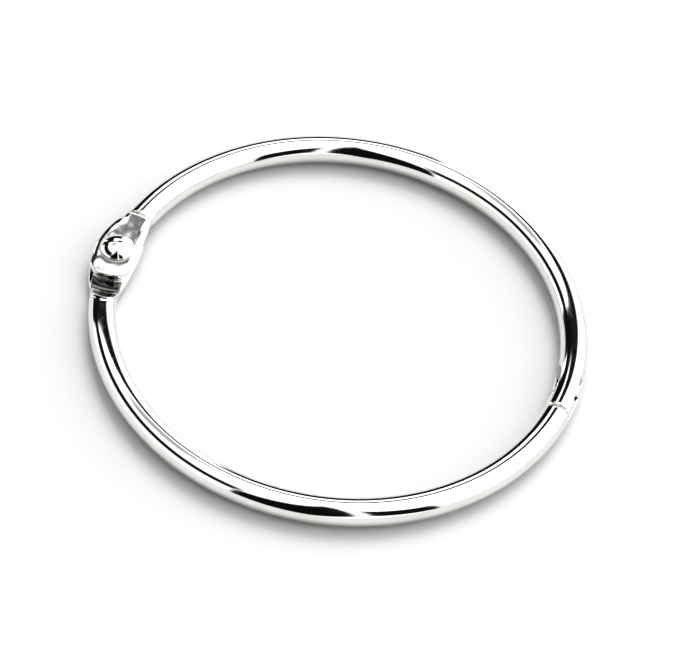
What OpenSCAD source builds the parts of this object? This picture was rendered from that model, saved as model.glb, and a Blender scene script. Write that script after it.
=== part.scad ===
// Hinged binder ring. Two half rings of round plated steel wire are lapped and riveted at one end
// and snap together at the other. All sizes are in millimetres.
//
// The closed ring lies in the XY plane with its centre at the origin. The rivet stands along Z on
// the -X side and the snap is on the +X side. The socket half is the +Y half and has the upper
// paddle of the hinge. The tongue half is the -Y half and has the lower one.

/* [Ring] */
// Inside diameter of the closed ring
inner_dia = 50.8; // [38:0.1:76]
// Diameter of the wire
wire_dia = 3.2; // [3.1:0.1:3.4]

/* [Hinge paddles] */
// Thickness of a stamped paddle
paddle_t = 1.15; // [1.05:0.05:1.25]
// Width of a paddle across the rivet
paddle_w = 5.2; // [4.9:0.1:5.4]
// Reach of a paddle past the rivet
paddle_reach = 4.2; // [3.9:0.1:4.4]
// Rounding of the edges of a paddle
paddle_edge = 0.5; // [0.3:0.05:0.5]
// Gap between the two paddles
paddle_gap = 0.1; // [0.06:0.02:0.16]
// Distance from the rivet to the step where a half's own paddle drops below its wire
step_r = 5.8; // [5.4:0.1:6]
// Distance from the rivet to the foot of the shoulder that clears the other half's paddle
shoulder_r = 6; // [5.7:0.1:6.2]
// Slope of the shoulder, in degrees
shoulder_slope = 40; // [36:1:48]

/* [Rivet] */
// Diameter of the shank
shank_dia = 2.4; // [2:0.1:2.6]
// Radial running clearance of the shank in the tongue half
shank_play = 0.05; // [0.03:0.01:0.08]
// Diameter of the domed head
head_dia = 3.9; // [3.5:0.1:4.1]
// Height of the domed head above the upper paddle
head_h = 1.15; // [0.9:0.05:1.3]
// Diameter of the flattened head below the lower paddle
tail_dia = 3.5; // [3.1:0.1:3.8]
// Thickness of the flattened head
tail_t = 0.5; // [0.4:0.05:0.6]

/* [Snap] */
// Length of the tongue beyond its shoulder
tongue_len = 6.7; // [6.5:0.1:6.8]
// Length of the neck between the shoulder and the barb
neck_len = 2.9; // [2.7:0.1:3]
// Height of the neck above the middle of the wire
neck_top = 0.12; // [0:0.04:0.16]
// Height of the barb above the middle of the wire
barb_top = 0.92; // [0.8:0.04:0.96]
// Slope of the long face of the barb, in degrees
barb_slope = 25; // [24:1:28]
// Length of the lip that the barb hooks behind
lip_len = 1.9; // [1.6:0.1:2.2]
// Swelling of the tongue's head below and beside the wire
head_swell = 0.15; // [0.05:0.05:0.2]
// Gap at the seam between the lip and the shoulder
seam_gap = 0.12; // [0.08:0.02:0.2]

/* [Hidden] */
$fn = 96;

wire_r = wire_dia / 2;
mid_r = inner_dia / 2 + wire_r; // radius of the wire's centre line
clear = 1; // how far a cutting shape runs past what it cuts

// Angles around the ring, from +X towards +Y. The rivet is at 180.
seam_a = -7.5;
shoulder_a = seam_a - seam_gap / mid_r * 180 / PI;
wire_end = 4 / mid_r * 180 / PI; // the round wire begins this far from the rivet, inside the paddle

// Outline of a paddle: an outer and an inner arc that leave the wire at flare_s from the rivet.
flare_s = 6.4;
flare_w = 2 * (wire_r - 0.15);
flare_a = flare_s / mid_r * 180 / PI;
paddle_len = 7; // where a paddle ends inside its wire
step_draft = 20; // lean of the step's wall, in degrees
corner_r = 2.75; // plan radius of the corners at a paddle's free end
corner_back = paddle_reach - 2.6; // their centre, this far past the rivet
paddle_low = paddle_gap / 2;
paddle_high = paddle_low + paddle_t;

// Snap: Y runs along the wire and Z up.
seam_y = mid_r * sin(seam_a);
barb_y = seam_y + neck_len;
barb_a = asin(barb_y / mid_r);
nose_y = seam_y + tongue_len;
nose_r = 0.45; // rounding of the nose, seen from the side
nose_z = -0.75; // height of the middle of the nose
nose_under = 30; // slope below the nose, in degrees
nose_plan_r = 2.1; // rounding of the nose, seen from above
nose_flat = 0.05; // how far the rounding's own tip would stand past the nose
head_lead = 3; // angles that the head's wire runs, before the barb and past it
head_span = 12;
barb_edge = 0.12; // chamfer on the hooking edge of the barb
lip_low = neck_top + 0.16;
lip_y = seam_y + lip_len;
roof_low = barb_top + 0.13;
pocket_r = 2.2; // rounding of the end of the pocket, seen from the side
pocket_y = nose_y + 0.6;
lip_edge = 0.35; // rounding of the lip's end
shoulder_edge = 0.3; // rounding of the tongue's shoulder

// X of the centre of the circle that has its centre on the X axis and crosses that axis at
// cross_x, and also runs through the point p.
function arc_centre_x(cross_x, p) =
    (p[0] * p[0] + p[1] * p[1] - cross_x * cross_x) / (2 * (p[0] - cross_x));

// Point at radius r on the ring, beyond the rivet by the angle a towards the socket half.
function past_rivet(r, a) = [-r * cos(a), r * sin(a)];

outer_x = arc_centre_x(-mid_r - paddle_w / 2, past_rivet(mid_r + flare_w / 2, flare_a));
outer_r = outer_x + mid_r + paddle_w / 2;
inner_x = arc_centre_x(-mid_r + paddle_w / 2, past_rivet(mid_r - flare_w / 2, flare_a));
inner_r = -mid_r + paddle_w / 2 - inner_x;

// --- Hinge ---

// Flat disc of a paddle's thickness with a rounded rim.
module paddle_disc(r) {
    rotate_extrude($fn = 180) {
        square([r - paddle_edge, paddle_t]);
        translate([0, paddle_edge])
            square([r, paddle_t - 2 * paddle_edge]);
        for (z = [paddle_edge, paddle_t - paddle_edge])
            translate([r - paddle_edge, z])
                circle(paddle_edge, $fn = 48);
    }
}

// Free end of a paddle: an arc around the rivet between two rounder corners. The block carries on
// from it to inside the wire.
module paddle_length() {
    intersection() {
        paddle_disc(paddle_reach);
        translate([0, -corner_back, 0])
            paddle_disc(corner_r);
    }
    translate([-paddle_w, -corner_back, 0])
        cube([2 * paddle_w, corner_back + paddle_len, paddle_t]);
}

// Upper paddle, which belongs to the half on the +Y side.
module paddle() {
    translate([0, 0, paddle_low])
        intersection() {
            translate([outer_x, 0, 0])
                paddle_disc(outer_r);
            translate([inner_x, 0, 0])
                paddle_disc(inner_r);
            translate([-mid_r, 0, 0])
                paddle_length();
        }
}

// Round wire from one angle to another.
module wire(from, to) {
    rotate([0, 0, from])
        rotate_extrude(angle = to - from, $fn = 180)
            translate([mid_r, 0])
                circle(wire_r);
}

// What the die takes off the wire at the hinge: all that would meet the other half's paddle, and
// the crown of the wire above its own paddle.
module hinge_cuts() {
    depth = wire_r + clear + paddle_low;
    translate([-mid_r, 0, -wire_r - clear])
        cylinder(r1 = shoulder_r + depth / tan(shoulder_slope), r2 = shoulder_r, h = depth);
    translate([-mid_r, 0, paddle_high])
        cylinder(r1 = step_r, r2 = step_r + wire_r * tan(step_draft), h = wire_r);
}

// One stamped hinge end, on the wire of its half and drilled for the rivet.
module hinge_end(hole_r) {
    difference() {
        union() {
            difference() {
                children();
                hinge_cuts();
            }
            paddle();
        }
        translate([-mid_r, 0, -clear])
            cylinder(r = hole_r, h = paddle_high + 2 * clear);
    }
}

// Rivet with its domed head set on the upper paddle and its flattened head below the lower one.
module hinge_rivet() {
    rim = 0.15;
    dome_h = head_h - rim;
    dome_r = (head_dia * head_dia / 4 + dome_h * dome_h) / (2 * dome_h);
    tail_edge = 0.4 * tail_t;
    tail_z = -paddle_high - shank_play;
    color([0.80, 0.80, 0.78])
        translate([-mid_r, 0, 0]) {
            translate([0, 0, tail_z - tail_t / 2])
                cylinder(d = shank_dia, h = paddle_high - tail_z + tail_t / 2 + rim / 2);
            translate([0, 0, paddle_high])
                rotate_extrude() {
                    square([head_dia / 2, rim]);
                    intersection() {
                        translate([0, rim + dome_h - dome_r])
                            circle(dome_r, $fn = 180);
                        translate([0, rim])
                            square([head_dia / 2, dome_h]);
                    }
                }
            translate([0, 0, tail_z - tail_t])
                rotate_extrude() {
                    square([tail_dia / 2 - tail_edge, tail_t]);
                    translate([0, tail_edge])
                        square([tail_dia / 2, tail_t - tail_edge]);
                    translate([tail_dia / 2 - tail_edge, tail_edge])
                        circle(tail_edge, $fn = 48);
                }
        }
}

// --- Snap ---

// Stretches a side profile, drawn with Y to the right and Z up, right across the wire.
module across_wire() {
    translate([mid_r - wire_dia, 0, 0])
        rotate([90, 0, 90])
            linear_extrude(2 * wire_dia)
                children();
}

// Ring that rounds the rim of a wire's end. The wire runs away from the end along +Z.
module end_rounding(e) {
    rotate_extrude()
        difference() {
            translate([wire_r - e, -clear])
                square([e + clear, e + clear]);
            translate([wire_r - e, e])
                circle(e, $fn = 48);
        }
}

// Side profile of the tongue's head: the barb with its hooking face, its long slope and the nose.
module head_profile() {
    nose = [nose_y - nose_r, nose_z];
    slope_end = nose + nose_r * [sin(barb_slope), cos(barb_slope)];
    under_end = nose + nose_r * [sin(nose_under), -cos(nose_under)];
    slope_y = slope_end[0] - (barb_top - slope_end[1]) / tan(barb_slope);
    under_y = under_end[0] - (wire_dia + under_end[1]) / tan(nose_under);
    translate(nose)
        circle(nose_r, $fn = 48);
    polygon([
        [barb_y, -wire_dia],
        [under_y, -wire_dia],
        under_end,
        nose,
        slope_end,
        [slope_y, barb_top],
        [barb_y + barb_edge, barb_top],
        [barb_y, barb_top - barb_edge]
    ]);
}

// Shape of a bullet that points along +Y and has its tip at the origin.
module bullet(r) {
    translate([0, -r, 0]) {
        sphere(r);
        rotate([90, 0, 0])
            cylinder(r = r, h = tongue_len);
    }
}

// The tongue's head: the wire swollen a little, cut to the side profile and rounded at the nose.
module tongue_head() {
    intersection() {
        rotate([0, 0, barb_a - head_lead])
            rotate_extrude(angle = head_lead + head_span, $fn = 180)
                translate([mid_r, -head_swell / 2])
                    circle(wire_r + head_swell / 2);
        across_wire()
            head_profile();
        translate([mid_r, nose_y + nose_flat, nose_z])
            bullet(nose_plan_r);
    }
}

// What the die takes off the wire above the neck, up to the shoulder and its rounded rim.
module neck_cut() {
    rotate([0, 0, shoulder_a])
        translate([mid_r, 0, 0]) {
            translate([-wire_dia, 0, neck_top])
                cube([2 * wire_dia, tongue_len, wire_dia]);
            intersection() {
                rotate([90, 0, 0])
                    end_rounding(shoulder_edge);
                translate([-wire_dia, -wire_dia, neck_top])
                    cube(2 * wire_dia);
            }
        }
}

// Side profile of what the socket lacks: the slot under the lip and the deeper pocket behind it.
module socket_profile() {
    under = roof_low + wire_dia;
    translate([seam_y - clear, -wire_dia])
        square([lip_len + 2 * clear, lip_low + wire_dia]);
    translate([lip_y, -wire_dia])
        square([pocket_y - pocket_r - lip_y, under]);
    translate([pocket_y - pocket_r, roof_low - pocket_r])
        circle(pocket_r);
    translate([pocket_y - pocket_r, -wire_dia])
        square([pocket_r, under - pocket_r]);
}

// --- The two halves ---

module socket_half() {
    color("silver")
        hinge_end(shank_dia / 2)
            difference() {
                wire(seam_a, 180 - wire_end);
                across_wire()
                    socket_profile();
                rotate([0, 0, seam_a])
                    translate([mid_r, 0, 0])
                        rotate([-90, 0, 0])
                            end_rounding(lip_edge);
            }
}

module tongue_half() {
    color("gainsboro")
        mirror([0, 1, 0])
            mirror([0, 0, 1])
                hinge_end(shank_dia / 2 + shank_play)
                    mirror([0, 0, 1])
                        mirror([0, 1, 0]) {
                            difference() {
                                wire(wire_end - 180, barb_a + 1.5);
                                neck_cut();
                            }
                            tongue_head();
                        }
}

socket_half();
tongue_half();
hinge_rivet();
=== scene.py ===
"""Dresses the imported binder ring: forged halves, a turned rivet, bright plating and a pale studio.

The closed ring lies in the XY plane around the origin, with the rivet at -X and the snap at +X.
Lengths are in metres, unless a class says that its own are in millimetres. A half ring starts as a
plain spun tube. Its dies are written as functions that give the depth of a point inside the finished
metal, and each vertex of the tube is pressed along its own ray until that depth is zero.
"""

import logging
import math
from dataclasses import dataclass, field
from enum import Enum
from typing import Protocol, Sequence, Union

import bmesh
import bpy
import numpy as np
from mathutils import Matrix, Quaternion, Vector


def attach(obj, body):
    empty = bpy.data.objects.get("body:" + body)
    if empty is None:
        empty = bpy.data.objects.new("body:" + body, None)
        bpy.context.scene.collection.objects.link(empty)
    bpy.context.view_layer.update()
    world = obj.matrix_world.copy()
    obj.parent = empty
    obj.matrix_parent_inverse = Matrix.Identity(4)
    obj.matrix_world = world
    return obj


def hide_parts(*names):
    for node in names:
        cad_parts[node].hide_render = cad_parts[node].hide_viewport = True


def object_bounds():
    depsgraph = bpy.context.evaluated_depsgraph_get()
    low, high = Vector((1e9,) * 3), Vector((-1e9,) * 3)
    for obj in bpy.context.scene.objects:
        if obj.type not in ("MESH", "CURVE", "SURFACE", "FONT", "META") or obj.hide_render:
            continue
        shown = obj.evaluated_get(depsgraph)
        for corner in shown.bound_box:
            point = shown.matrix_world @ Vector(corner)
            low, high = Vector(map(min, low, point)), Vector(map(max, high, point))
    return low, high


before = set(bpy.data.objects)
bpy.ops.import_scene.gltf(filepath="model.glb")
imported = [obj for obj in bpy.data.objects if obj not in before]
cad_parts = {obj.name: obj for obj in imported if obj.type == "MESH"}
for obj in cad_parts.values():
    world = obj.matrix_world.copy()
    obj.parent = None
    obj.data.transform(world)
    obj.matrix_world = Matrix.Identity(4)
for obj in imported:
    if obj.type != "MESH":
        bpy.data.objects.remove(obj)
CAD_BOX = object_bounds()

LOG = logging.getLogger("binder_ring")
MM = 0.001
UM = 0.000001
# A depth that never limits another one.
FAR_INSIDE = 1.0
# Angle of the plain tube, short of half a turn so that each vertex's own angle is known.
SPIN_ANGLE = 3.0
# Distances from a steep wall to the rings of vertices on both sides of it.
WALL_STEPS = [0.003 * MM, 0.03 * MM, 0.06 * MM, 0.095 * MM, 0.14 * MM, 0.2 * MM]
# Vertices that are closer together than this are one.
MERGE_DISTANCE = 1.0 * UM
Array = np.ndarray
Span = tuple[float, float]
Colour = tuple[float, float, float, float]


# --- Rounded joins of shapes, given as depths inside them ---


def rounded_and(first: Array, second: Array, radius: Union[float, Array]) -> Array:
    """Depth inside two shapes at once, with the edge where they meet rounded.

    Args:
        first: Depth inside the first shape, negative outside it.
        second: Depth inside the second shape.
        radius: Radius of the rounded edge.

    Returns:
        Depth inside what the two shapes share.
    """
    corner = np.hypot(np.maximum(radius - first, 0.0), np.maximum(radius - second, 0.0))
    return np.maximum(radius, np.minimum(first, second)) - corner


def rounded_or(first: Array, second: Array, radius: float) -> Array:
    """Depth inside either of two shapes, with a fillet in the corner where they meet.

    Args:
        first: Depth inside the first shape, negative outside it.
        second: Depth inside the second shape.
        radius: Radius of the fillet.

    Returns:
        Depth inside the two shapes together.
    """
    return -rounded_and(-first, -second, radius)


def eased(value: Array, start: float, end: float) -> Array:
    """Share of the way from start to end, eased at both ends and held to 0..1."""
    share = np.clip((value - start) / (end - start), 0.0, 1.0)
    return share * share * (3 - 2 * share)


# --- The forms that the dies give the wire ---


@dataclass(frozen=True)
class Wire:
    """Round wire bent to a circle around the Z axis."""

    radius: float = 1.6 * MM
    mid_radius: float = 27.0 * MM

    def offset(self, x: Array, y: Array) -> Array:
        """Distance outwards from the wire's centre line, seen from above."""
        return np.hypot(x, y) - self.mid_radius

    def depth(self, x: Array, y: Array, z: Array) -> Array:
        """Depth of points inside the wire."""
        return self.radius - np.hypot(self.offset(x, y), z)


@dataclass(frozen=True)
class StruckFace:
    """How uneven the punch and the riveting left the outer face of a paddle.

    Places are taken across the wire, inwards from the rivet, and along it, towards the step. A fall is
    the depth one reach past its start, and it grows as the square. Each wave is given by its radians a
    millimetre across and along, and the angle that it starts from.
    """

    side_fall: float = 0.06 * MM
    side_start: float = 2.0 * MM
    side_reach: float = 1.8 * MM
    side_edge: float = -1.2 * MM
    side_inner: float = -0.1 * MM
    end_fall: float = 0.05 * MM
    end_start: float = -1.7 * MM
    end_reach: float = 1.3 * MM
    head_print: float = 0.02 * MM
    print_radius: float = 1.9 * MM
    print_width: float = 0.45 * MM
    ripple: float = 0.007 * MM
    second_ripple: float = 0.7
    waves: tuple[tuple[float, float, float], ...] = ((1.7, 2.9, 0.5), (-3.7, 1.3, 2.0))

    def wave(self, across: Array, along: Array, which: int) -> Array:
        """One of the two waves that cross the face, from 0 to 2."""
        turns_across, turns_along, start = self.waves[which]
        return 1.0 + np.sin(turns_along * along / MM + turns_across * across / MM + start)

    def dish(self, across: Array, along: Array) -> Array:
        """Depth of the face below a flat one.

        Args:
            across: Distances inwards from the rivet, towards the middle of the ring.
            along: Distances from the rivet towards the step.

        Returns:
            Depths, never negative.
        """
        from_rivet = np.hypot(across, along)
        outside = 1.0 - eased(across, self.side_edge, self.side_inner)
        fall = self.side_fall * outside * (np.maximum(along - self.side_start, 0.0) / self.side_reach) ** 2
        fall += self.end_fall * (np.maximum(self.end_start - along, 0.0) / self.end_reach) ** 2
        fall += self.head_print * np.exp(-(((from_rivet - self.print_radius) / self.print_width) ** 2))
        ripples = self.wave(across, along, 0) + self.second_ripple * self.wave(across, along, 1)
        return fall + self.ripple * ripples


@dataclass(frozen=True)
class HingeDie:
    """Stamped end of the socket half: the upper paddle, the step above it and the shoulder below.

    The tongue half's end is the same, turned half a turn about the X axis.
    """

    wire: Wire
    low: float = 0.05 * MM
    thickness: float = 1.15 * MM
    half_width: float = 2.6 * MM
    reach: float = 4.2 * MM
    step: float = 5.8 * MM
    step_draft: float = math.radians(20)
    shoulder: float = 6.0 * MM
    shoulder_slope: float = math.radians(40)
    flare: float = 6.4 * MM
    flare_half_width: float = 1.45 * MM
    inside_wire: float = 7.0 * MM
    corner_radius: float = 2.75 * MM
    corner_past_rivet: float = 1.6 * MM
    corner_blend: float = 0.5 * MM
    step_fillet: float = 0.12 * MM
    shoulder_fillet: float = 0.45 * MM
    step_edge: float = 0.1 * MM
    shoulder_edge: float = 0.35 * MM
    flare_blend: float = 0.22 * MM
    end_edge: float = 0.18 * MM
    side_rim: float = 1.15 * MM
    face: StruckFace = StruckFace()

    @property
    def high(self) -> float:
        """Height of the paddle's upper face."""
        return self.low + self.thickness

    @property
    def middle(self) -> float:
        """Height of the paddle's middle."""
        return self.low + self.thickness / 2

    def outline_arc(self, crossing: float, side: float) -> tuple[float, float]:
        """Works out one long edge of the paddle, an arc with its centre on the X axis.

        Args:
            crossing: X where the arc crosses the X axis.
            side: 1 for the edge outside the ring, -1 for the one inside it.

        Returns:
            X of the arc's centre, and its radius.
        """
        angle = self.flare / self.wire.mid_radius
        radius = self.wire.mid_radius + side * self.flare_half_width
        x, y = -radius * math.cos(angle), radius * math.sin(angle)
        centre = (x * x + y * y - crossing * crossing) / (2 * (x - crossing))
        return centre, abs(centre - crossing)

    def dish(self, x: Array, y: Array) -> Array:
        """Depth of the paddle's face below a flat one."""
        return self.face.dish(x + self.wire.mid_radius, y)

    def paddle(self, x: Array, y: Array, z: Array) -> Array:
        """Depth of points inside the flat paddle.

        Args:
            x: X of the points.
            y: Y of the points, from the rivet towards the wire.
            z: Z of the points, upwards from the other paddle.

        Returns:
            Depths. The long sides are round and the free end is cut square with its edges broken.
        """
        mid = self.wire.mid_radius
        outer_x, outer_radius = self.outline_arc(-mid - self.half_width, 1.0)
        inner_x, inner_radius = self.outline_arc(-mid + self.half_width, -1.0)
        outer = outer_radius - np.hypot(x - outer_x, y)
        inner = inner_radius - np.hypot(x - inner_x, y)
        end = self.reach - np.hypot(x + mid, y)
        corners = self.corner_radius - np.hypot(x + mid, y + self.corner_past_rivet)
        past_corners = y < -self.corner_past_rivet
        free_end = np.where(past_corners, rounded_and(end, corners, self.corner_blend), FAR_INSIDE)
        rim = self.thickness / 2
        sides = np.minimum(outer, inner) * rim / self.side_rim
        thick = np.minimum(z - self.low, self.high - self.dish(x, y) - z)
        cut = rounded_and(rounded_and(sides, thick, rim), free_end, self.end_edge)
        return np.minimum(cut, self.inside_wire - y)

    def depth(self, x: Array, y: Array, z: Array) -> Array:
        """Depth of points inside the stamped end and the wire that it passes into.

        Args:
            x: X of the points.
            y: Y of the points, from the rivet towards the wire.
            z: Z of the points, upwards from the other paddle.

        Returns:
            Depths, negative outside the metal.
        """
        wire = np.minimum(self.wire.depth(x, y, z), y)
        from_rivet = np.hypot(x + self.wire.mid_radius, y)
        joined = rounded_or(wire, self.paddle(x, y, z), self.flare_blend)
        lean, slope = self.step_draft, self.shoulder_slope
        past_step = (from_rivet - self.step) * math.cos(lean) - (z - self.high) * math.sin(lean)
        under_crown = rounded_or(self.high - self.dish(x, y) - z, past_step, self.step_fillet)
        past_shoulder = (from_rivet - self.shoulder) * math.sin(slope) + (z - self.low) * math.cos(slope)
        above_slot = rounded_or(z - self.low, past_shoulder, self.shoulder_fillet)
        step_edge = self.step_edge * eased(from_rivet, self.step - self.step_edge, self.step)
        shoulder_edge = self.shoulder_edge * eased(from_rivet, self.shoulder, self.inside_wire)
        stamped = rounded_and(joined, under_crown, step_edge)
        return rounded_and(stamped, above_slot, shoulder_edge)


@dataclass(frozen=True)
class SnapPlan:
    """Places along the snap that both of its halves share. Y runs along the wire there."""

    wire: Wire
    seam_angle: float = math.radians(-7.5)
    seam_gap: float = 0.12 * MM
    tongue_length: float = 6.7 * MM
    neck_length: float = 2.9 * MM
    lip_length: float = 1.9 * MM
    pocket_past_nose: float = 0.6 * MM
    neck_top: float = 0.12 * MM
    barb_top: float = 0.92 * MM
    lip_play: float = 0.16 * MM
    roof_play: float = 0.13 * MM

    @property
    def seam_y(self) -> float:
        """Y of the seam on the wire's centre line."""
        return self.wire.mid_radius * math.sin(self.seam_angle)

    @property
    def shoulder_angle(self) -> float:
        """Angle of the tongue's shoulder, a narrow gap before the seam."""
        return self.seam_angle - self.seam_gap / self.wire.mid_radius

    @property
    def lip_y(self) -> float:
        """Y of the face that the barb hooks behind."""
        return self.seam_y + self.lip_length

    @property
    def barb_y(self) -> float:
        """Y of the barb's hooking face."""
        return self.seam_y + self.neck_length

    @property
    def nose_y(self) -> float:
        """Y of the tip of the tongue."""
        return self.seam_y + self.tongue_length

    @property
    def pocket_y(self) -> float:
        """Y of the far end of the pocket."""
        return self.nose_y + self.pocket_past_nose

    def past_plane(self, x: Array, y: Array, angle: float) -> Array:
        """Distance past the upright plane through the Z axis at an angle, towards +Y."""
        return y * math.cos(angle) - x * math.sin(angle)


@dataclass(frozen=True)
class SocketDie:
    """Socket of the snap: a lip at the seam and a deeper pocket behind it, open below."""

    wire: Wire
    snap: SnapPlan
    pocket_radius: float = 2.2 * MM
    face_edge: float = 0.35 * MM
    lip_edge: float = 0.1 * MM
    edge: float = 0.09 * MM

    @property
    def lip_low(self) -> float:
        """Height of the underside of the lip."""
        return self.snap.neck_top + self.snap.lip_play

    @property
    def roof_low(self) -> float:
        """Height of the roof of the pocket."""
        return self.snap.barb_top + self.snap.roof_play

    @property
    def arc_y(self) -> float:
        """Y where the flat roof passes into the round end of the pocket."""
        return self.snap.pocket_y - self.pocket_radius

    def depth(self, x: Array, y: Array, z: Array) -> Array:
        """Depth of points inside the socket and the wire that it is cut in.

        Args:
            x: X of the points.
            y: Y of the points.
            z: Z of the points.

        Returns:
            Depths, negative outside.
        """
        past_arc = np.maximum(y - self.arc_y, 0.0)
        above_arc = np.maximum(z - self.roof_low + self.pocket_radius, 0.0)
        round_pocket = np.hypot(past_arc, above_arc) - self.pocket_radius
        lip = rounded_and(z - self.lip_low, self.snap.lip_y - y, self.lip_edge)
        kept = rounded_or(round_pocket, lip, self.lip_edge)
        past_seam = self.snap.past_plane(x, y, self.snap.seam_angle)
        faced = rounded_and(self.wire.depth(x, y, z), past_seam, self.face_edge)
        return rounded_and(faced, kept, self.edge)


@dataclass(frozen=True)
class TongueDie:
    """Tongue of the snap: a thin neck, and a barbed head with a long slope and a round nose."""

    wire: Wire
    snap: SnapPlan
    swell: float = 0.15 * MM
    slope: float = math.radians(25)
    under_slope: float = math.radians(30)
    nose_radius: float = 0.45 * MM
    nose_height: float = -0.75 * MM
    nose_plan_radius: float = 2.1 * MM
    nose_flat: float = 0.05 * MM
    neck_into_head: float = 0.7 * MM
    shoulder_edge: float = 0.3 * MM
    neck_edge: float = 0.12 * MM
    barb_edge: float = 0.13 * MM

    def neck(self, x: Array, y: Array, z: Array) -> Array:
        """Depth of points inside the round wire up to its shoulder, and the neck past it.

        Args:
            x: X of the points.
            y: Y of the points.
            z: Z of the points.

        Returns:
            Depths, negative outside.
        """
        wire = self.wire.depth(x, y, z)
        before_shoulder = -self.snap.past_plane(x, y, self.snap.shoulder_angle)
        full = rounded_and(wire, before_shoulder, self.shoulder_edge)
        thin = rounded_and(wire, self.snap.neck_top - z, self.neck_edge)
        ends = self.snap.barb_y + self.neck_into_head - y
        return np.maximum(full, np.minimum(thin, ends))

    def nose(self, y: Array, z: Array) -> Array:
        """Depth of points inside the nose, seen from the side: two slopes and a round tip.

        Args:
            y: Y of the points.
            z: Z of the points.

        Returns:
            Depths, negative outside.
        """
        along = y - (self.snap.nose_y - self.nose_radius)
        up = z - self.nose_height
        above = self.nose_radius - along * math.sin(self.slope) - up * math.cos(self.slope)
        below = self.nose_radius - along * math.sin(self.under_slope) + up * math.cos(self.under_slope)
        bearing = np.arctan2(up, along)
        top_of_tip = math.pi / 2 - self.slope
        foot_of_tip = self.under_slope - math.pi / 2
        at_tip = (bearing < top_of_tip) & (bearing > foot_of_tip)
        return np.where(at_tip, self.nose_radius - np.hypot(along, up), np.minimum(above, below))

    def head(self, x: Array, y: Array, z: Array) -> Array:
        """Depth of points inside the barbed head, which is swollen below and to the sides.

        Args:
            x: X of the points.
            y: Y of the points.
            z: Z of the points.

        Returns:
            Depths, negative outside.
        """
        offset = self.wire.offset(x, y)
        swollen = self.wire.radius + self.swell / 2 - np.hypot(offset, z + self.swell / 2)
        profile = rounded_and(self.nose(y, z), self.snap.barb_top - z, self.barb_edge)
        ball_y = np.maximum(y - (self.snap.nose_y + self.nose_flat - self.nose_plan_radius), 0.0)
        spine = x - self.wire.mid_radius
        bullet = self.nose_plan_radius - np.sqrt(spine**2 + ball_y**2 + (z - self.nose_height) ** 2)
        cut = rounded_and(rounded_and(swollen, bullet, self.barb_edge), profile, self.barb_edge)
        return rounded_and(cut, y - self.snap.barb_y, self.barb_edge)

    def depth(self, x: Array, y: Array, z: Array) -> Array:
        """Depth of points inside the tongue and the wire that it is cut in."""
        return np.maximum(self.neck(x, y, z), self.head(x, y, z))


# --- Stations: the places of the rings of vertices along a half ring ---


class Line(Protocol):
    """A line across the wire in plan, on which one ring of vertices lies."""

    def angle(self, offset: Array) -> Array:
        """Angle around the ring from the rivet, for each distance from the centre line."""


@dataclass(frozen=True)
class AcrossLine:
    """Straight across the wire at one angle from the rivet."""

    at: float

    def angle(self, offset: Array) -> Array:
        """The same angle at every offset."""
        return np.full_like(offset, self.at)


@dataclass(frozen=True)
class RivetLine:
    """An arc around the rivet, at a distance that is negative past the rivet.

    Nearer than tightest it is half an ellipse instead, whose half width is tightest.
    """

    wire: Wire
    distance: float
    tightest: float = 3.4 * MM

    def angle(self, offset: Array) -> Array:
        """Angle at which the arc crosses each offset.

        Args:
            offset: Distances outwards from the wire's centre line.

        Returns:
            Angles around the ring from the rivet, in radians.
        """
        mid = self.wire.mid_radius
        radius = mid + offset
        if abs(self.distance) < self.tightest:
            share = np.clip(offset / self.tightest, -1.0, 1.0)
            y = self.distance * np.sqrt(1.0 - share**2)
            return np.arcsin(y / radius)
        cosine = (mid**2 + radius**2 - self.distance**2) / (2 * mid * radius)
        return math.copysign(1.0, self.distance) * np.arccos(np.clip(cosine, -1.0, 1.0))


@dataclass(frozen=True)
class SquareLine:
    """A line of constant Y across the snap."""

    wire: Wire
    y: float
    side: int

    def angle(self, offset: Array) -> Array:
        """Angle at which the line crosses each offset."""
        return math.pi - np.arcsin(self.side * self.y / (self.wire.mid_radius + offset))


@dataclass(frozen=True)
class MixedLine:
    """A line part of the way from one line to another."""

    first: Line
    second: Line
    share: float

    def angle(self, offset: Array) -> Array:
        """Weighted mean of the two lines' angles at each offset."""
        return (1 - self.share) * self.first.angle(offset) + self.share * self.second.angle(offset)


@dataclass(frozen=True)
class Station:
    """One ring of vertices: its line, the height its rays start from, and where they aim.

    At a fit of 0 they aim at a round wire and at 1 at a bar. A ring that closes is flat, at its core.
    """

    line: Line
    core: float = 0.0
    fit: float = 0.0
    fit_height: float = FAR_INSIDE
    closes: bool = False


def spread(start: float, end: float, step: float) -> list[float]:
    """Evenly spaced values from start to end, both included.

    Args:
        start: First value.
        end: Last value.
        step: Longest spacing.

    Returns:
        The values in order.
    """
    count = max(1, math.ceil(abs(end - start) / step))
    return [start + (end - start) * i / count for i in range(count + 1)]


def around_wall(values: Sequence[float], wall: float, spare: float = 1.3) -> list[float]:
    """Adds close-set values on both sides of a wall, in place of the ones that lie there.

    Args:
        values: Evenly spaced values.
        wall: Where a die leaves a steep wall.
        spare: Clear distance, in lengths of the last close-set step.

    Returns:
        The values in rising order.
    """
    kept = [value for value in values if abs(value - wall) > WALL_STEPS[-1] * spare]
    close = [wall + sign * step for step in WALL_STEPS for sign in (-1, 1)]
    return sorted(kept + close)


# --- Pieces ---


@dataclass(frozen=True)
class Role:
    """Names of a piece: its own, those of its node, body and slot in the frame, and its material's."""

    piece: str
    node: str
    body: str
    slot: str
    material: str


class Die(Protocol):
    """The form of a half ring's own end of the snap."""

    def depth(self, x: Array, y: Array, z: Array) -> Array:
        """Depth of points inside the finished end."""


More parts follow.
